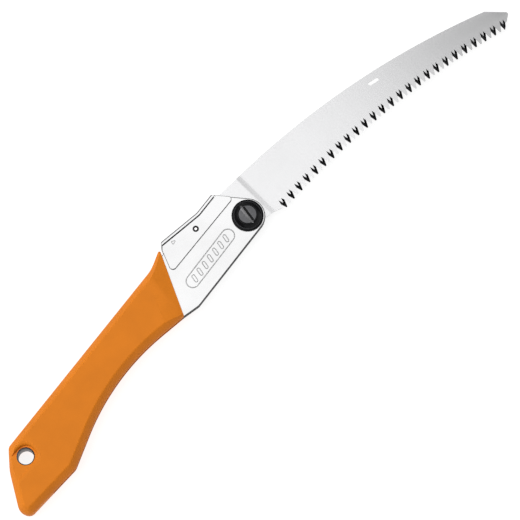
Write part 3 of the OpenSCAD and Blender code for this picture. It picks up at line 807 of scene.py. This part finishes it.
# The rivet, as [radius, height]: a dimpled middle, a flared ring and the shank, the same on both sides
rivet = np.array([[0, 4.78], [0.75, 4.8], [0.95, 4.95], [1.1, 5.18], [1.35, 5.2], [1.75, 5.02], [2.05, 4.85],
                  [2.1, 4.76], [1.6, 4.74], [1.6, 0]])
rivetShadeFrom = 0.9  # the ring outside this radius takes the near black edge colour, painted shade
pinPoints, pinFaces = turned(np.concatenate([rivet, (rivet * [1, -1])[::-1][1:]]), pinCentre, 48)
pinRadii = np.hypot(*(pinPoints[:, :2] - pinCentre).T)[np.array(pinFaces)].mean(1)
pinPiece = makePiece("lever_rivet", pinPoints, pinFaces, pinSteel.material, edgeShade.material,
                     marks=pinRadii > rivetShadeFrom)
finishPiece(pinPiece, "frame", "pin_steel", "lever_pin")

# The grip
grip = {"ramp": 14, "rampDrop": 3.0, "slot": 4.4, "recess": 3.1, "recessLow": 0.5, "recessReach": 6.9,
        "recessFoot": 8, "recessRun": 16, "frontWeight": 0.12}
gripFront = [[-76.9, -18.5, 0.5], [-56.8, 25.2, 1]]
gripCorners = gripFront + [
    [-70.5, 18.9, 25], [-219.2, 0.7, 5], [-229.7, -11.2, 30], [-243.6, -34.5, 7], [-240.5, -42, 5],
    [-197.7, -40.3, 8], [-137.6, -13.5, 165]]
# The sides' profile as [distance in from the outline, height]: a flat bevel with soft corners above an
# upright side
bevel = np.array([[4.8, 10], [4.35, 9.93], [4.0, 9.7], [3.4, 9.1], [2.6, 8.2], [1.8, 7.25], [1.1, 6.3],
                  [0.6, 5.5], [0.25, 4.7], [0.06, 3.9], [0, 3.0], [0, 1.5]])
bevel[:, 1] *= halfGrip / bevel[0, 1]
sideWeights = [grip["frontWeight"]] + [1] * (len(gripCorners) - 1)


def gripRow(inset, height):
    ring = roundedRing(gripCorners, inset, sideWeights)
    return np.c_[ring, np.full(len(ring), height)]


rings = np.stack([gripRow(*place) for place in np.concatenate([bevel, (bevel * [1, -1])[::-1]])])
n, m = rings.shape[:2]
gripFaces = gridFaces(n, m, True) + [list(range(m)), list(range((n - 1) * m, n * m))[::-1]]
gripPiece = makePiece("rubber_grip", rings.reshape(-1, 3), gripFaces, gripRubber.material)

# Each flank thins towards the frame: a wedge whose lower face slopes down to the front edge
frontCorner, frontEnd = (np.array(place[:2]) for place in gripFront)
frontLine = (frontEnd - frontCorner) / np.linalg.norm(frontEnd - frontCorner)
behind = np.array([-frontLine[1], frontLine[0]])
wedgeAhead, wedgeTop = -6, halfGrip + 3
wedgeLow = halfGrip - grip["rampDrop"] * (1 - wedgeAhead / grip["ramp"])
wedge = [[wedgeAhead, wedgeLow], [grip["ramp"], halfGrip], [grip["ramp"], wedgeTop], [wedgeAhead, wedgeTop]]
for side in (1, -1):
    ends = [frontCorner - frontLine * 15, frontCorner + frontLine * 65]
    corners = [[*(end + behind * d), side * h] for end in ends for d, h in wedge]
    carve(gripPiece, corners, [[0, 1, 2, 3], [7, 6, 5, 4], [0, 4, 5, 1], [1, 5, 6, 2], [2, 6, 7, 3],
                               [3, 7, 4, 0]])
carve(gripPiece, *block(frameRing, -steel["out"], steel["out"]))
# The slot that the folded blade goes into
slotOutline = [[-20, -1], [-150, -8], [-219, -21.6], [-221.3, -27.5], [-219, -41], [-216, -60], [-20, -60]]
carve(gripPiece, *block(slotOutline, -grip["slot"] / 2, grip["slot"] / 2))
carve(gripPiece, *block(circleRing(hangCentre, steel["eyelet"]), -2 * halfGrip, 2 * halfGrip))

# The lowered flat round the hang hole: deep along its upper wall, and shallow along its lower line.
# Its corners are from the hole's centre
reach = grip["recessReach"]
recessCorners = np.array([[-40, -9.7, 0.5], [-2, -7.2, 0.6], [reach, -6.5, 5.2], [reach, reach, 6.2],
                          [-40, reach - 1.2, 0.5]])
recessRing = roundedRing(recessCorners + [*hangCentre, 0], step=4)
climb = np.maximum(recessRing[:, 1] - hangCentre[1] + grip["recessFoot"], 0) / grip["recessRun"]
depth = grip["recessLow"] + (grip["recess"] - grip["recessLow"]) * climb
# The wall's section, as [distance out, share of the depth]: steep at its foot and rounding over into
# the flank, then on up past it
wallSection = [[0, 0], [0.1, 0.3], [0.35, 0.55], [0.8, 0.76], [1.5, 0.91], [2.3, 0.985], [2.9, 1.02],
               [3.0, 3.0]]
count = len(recessRing)
last = (len(wallSection) - 1) * count
for side in (1, -1):
    levels = [np.c_[recessRing + ringNormals(recessRing) * grow, side * (halfGrip - depth * (1 - share))]
              for grow, share in wallSection]
    carve(gripPiece, np.concatenate(levels), gridFaces(len(levels), count, True)
          + [list(range(count))[::-1], list(range(last, last + count))])
finishPiece(gripPiece, "frame", "grip_rubber", "grip")

# The hang hole's tube, with a rounded lip at each end
eyelet = {"hole": 5.3, "outer": 6.0, "half": 8.0, "outerDrop": 0.1, "innerDrop": 0.25, "ease": 0.1}
crest = (eyelet["hole"] + eyelet["outer"]) / 2
outerLip, innerLip = eyelet["half"] - eyelet["outerDrop"], eyelet["half"] - eyelet["innerDrop"]
eyeletProfile = eased([
    [crest, eyelet["half"]], [eyelet["outer"], outerLip], [eyelet["outer"], -outerLip],
    [crest, -eyelet["half"]], [eyelet["hole"], -innerLip], [eyelet["hole"], innerLip],
    [crest, eyelet["half"]]], eyelet["ease"])
# The tube takes the bolt's dark grey steel, painted shade inside the hang hole
eyeletPiece = makePiece("hang_eyelet_tube", *turned(eyeletProfile[:-1], hangCentre, 64), darkSteelAndHoleShade.material)
finishPiece(eyeletPiece, "frame", "nickel", "hang_eyelet")

# The pivot bolt with its cap and its flange washer, as heights above the middle plane and radii
bolt = {"shank": 3.0, "cheek": 3.3, "flange": 10.6, "flangeTop": 5.1, "washerBore": 8.0, "washerDeep": 3.9,
        "capFoot": 8.9, "capTop": 8.3, "head": 6.0, "headTop": 8.5, "headSeat": 6.65, "end": -8.3,
        "slotLength": 17.4, "slotAngle": 82, "slotDeep": 1.7, "slopeLeft": -2.0, "slopeLow": 0.4,
        "deepRight": 1.5, "deepLength": 10.9, "above": 12}
shank, flange, flangeTop = bolt["shank"], bolt["flange"], bolt["flangeTop"]
capFoot, capTop, head, headTop = bolt["capFoot"], bolt["capTop"], bolt["head"], bolt["headTop"]


# A slot's section of [across, height] carried along the slot's line through the axis
def slotCutter(section, length):
    a = math.radians(bolt["slotAngle"])
    along, across = np.array([math.cos(a), math.sin(a)]), np.array([math.sin(a), -math.cos(a)])
    points = np.array([[*(along * end + across * d), h]
                       for end in (-length / 2, length / 2) for d, h in section])
    n = len(section)
    return points, [list(range(n)), list(range(n, 2 * n))[::-1]] + gridFaces(2, n, True)


# The coin slot: one side slopes down to the middle and runs out over the cap, and the other is cut straight
# and deep; the deep side's cut faces take the gloss black as painted shadow
slopeCut = slotCutter([[bolt["slopeLeft"], headTop + 0.02], [0.05, headTop - bolt["slopeLow"]],
                       [0.05, bolt["above"]], [bolt["slopeLeft"], bolt["above"]]], bolt["slotLength"])
deepCut = slotCutter([[0, headTop - bolt["slotDeep"]], [bolt["deepRight"], headTop - bolt["slotDeep"]],
                      [bolt["deepRight"], bolt["above"]], [0, bolt["above"]]], bolt["deepLength"])
washerProfile = eased([
    [shank + 0.05, bolt["washerDeep"]], [bolt["washerBore"], bolt["washerDeep"]],
    [bolt["washerBore"], bolt["cheek"] + 0.02], [flange - 0.2, bolt["cheek"] + 0.02],
    [flange, bolt["cheek"] + 0.25], [flange, flangeTop - 0.6], [flange - 0.3, flangeTop - 0.2],
    [flange - 0.9, flangeTop - 0.02], [capFoot + 0.25, flangeTop], [capFoot + 0.12, flangeTop - 0.2],
    [capFoot - 0.02, flangeTop - 0.2], [capFoot - 0.1, flangeTop - 0.02],
    [shank + 0.05, flangeTop - 0.02]], 0.12)
washerPoints, washerFaces = turned(washerProfile)
radii = np.hypot(washerPoints[:, 0], washerPoints[:, 1])[np.array(washerFaces)].mean(1)
heights = washerPoints[:, 2][np.array(washerFaces)].mean(1)
# A thin ring of the flange, just outside the cap's foot, is the second material, a lighter grey painted on as
# a highlight
rimHighlightMask = (radii > capFoot - 0.1) & (radii < capFoot + 0.3) & (heights > flangeTop - 0.5)
washerPiece = makePiece("flange_washer", washerPoints, washerFaces, glossBlackAndShadow.material, rimHighlight.material,
                        marks=rimHighlightMask)
finishPiece(washerPiece, "bolt_washer", "cap_black", "bolt_washer")

capProfile = eased([
    [shank + 0.02, flangeTop], [capFoot - 0.15, flangeTop], [capFoot, flangeTop + 0.15],
    [capFoot - 0.05, flangeTop + 0.6], [head + 0.95, capTop - 0.15], [head + 0.7, capTop],
    [head + 0.15, capTop], [head + 0.03, capTop - 0.1], [head + 0.03, bolt["headSeat"]],
    [shank + 0.02, bolt["headSeat"]]], 0.14)
capPiece = makePiece("bolt_cap_ring", *turned(capProfile), glossBlackAndShadow.material)
carve(capPiece, *slopeCut, material=slotSteel.material)
finishPiece(capPiece, "bolt", "cap_black", "bolt_cap")

boltProfile = eased([
    [0, headTop], [head - 0.2, headTop], [head, headTop - 0.2], [head, bolt["headSeat"]],
    [shank, bolt["headSeat"]], [shank, bolt["end"] + 0.1], [shank - 0.3, bolt["end"]], [0, bolt["end"]]], 0.1)
boltPiece = makePiece("slotted_bolt", *turned(boltProfile), darkSteelAndHoleShade.material)
carve(boltPiece, *slopeCut, material=slotSteel.material)
# Painted shadow: the deep cut's faces take the gloss black
carve(boltPiece, *deepCut, material=glossBlackAndShadow.material)
finishPiece(boltPiece, "bolt", "bolt_black", "pivot_bolt")

# The far side's cap over the nut, with a dished foot
nutCapProfile = eased([
    [0, -3.3], [8.95, -3.3], [10.4, -3.3], [10.6, -3.5], [10.6, -4.7], [10.4, -5.0], [9.1, -9.2], [8.6, -9.9],
    [8.0, -10.0], [7.2, -9.85], [6.6, -9.6], [0, -9.6]], 0.2)
nutCapPiece = makePiece("nut_cap_shell", *turned(nutCapProfile), glossBlackAndShadow.material)
finishPiece(nutCapPiece, "frame", "cap_black", "nut_cap")

# The frame's own nodes that stay get their own finishes
stays = {
    "pivot_sleeve": zincSteel, "friction_washer_upper": bronze, "friction_washer_lower": bronze,
    "tail_spacer": nylonBlack, "lock_pawl": zincSteel, "lever_spring": pinSteel, "spring_seat": zincSteel,
    "spring_washer": zincSteel, "pivot_nut": zincSteel, "nut_washer": zincSteel}
for node, finish in stays.items():
    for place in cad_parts[node].material_slots:
        place.material = finish.material
print("finishes on the nodes that stay")
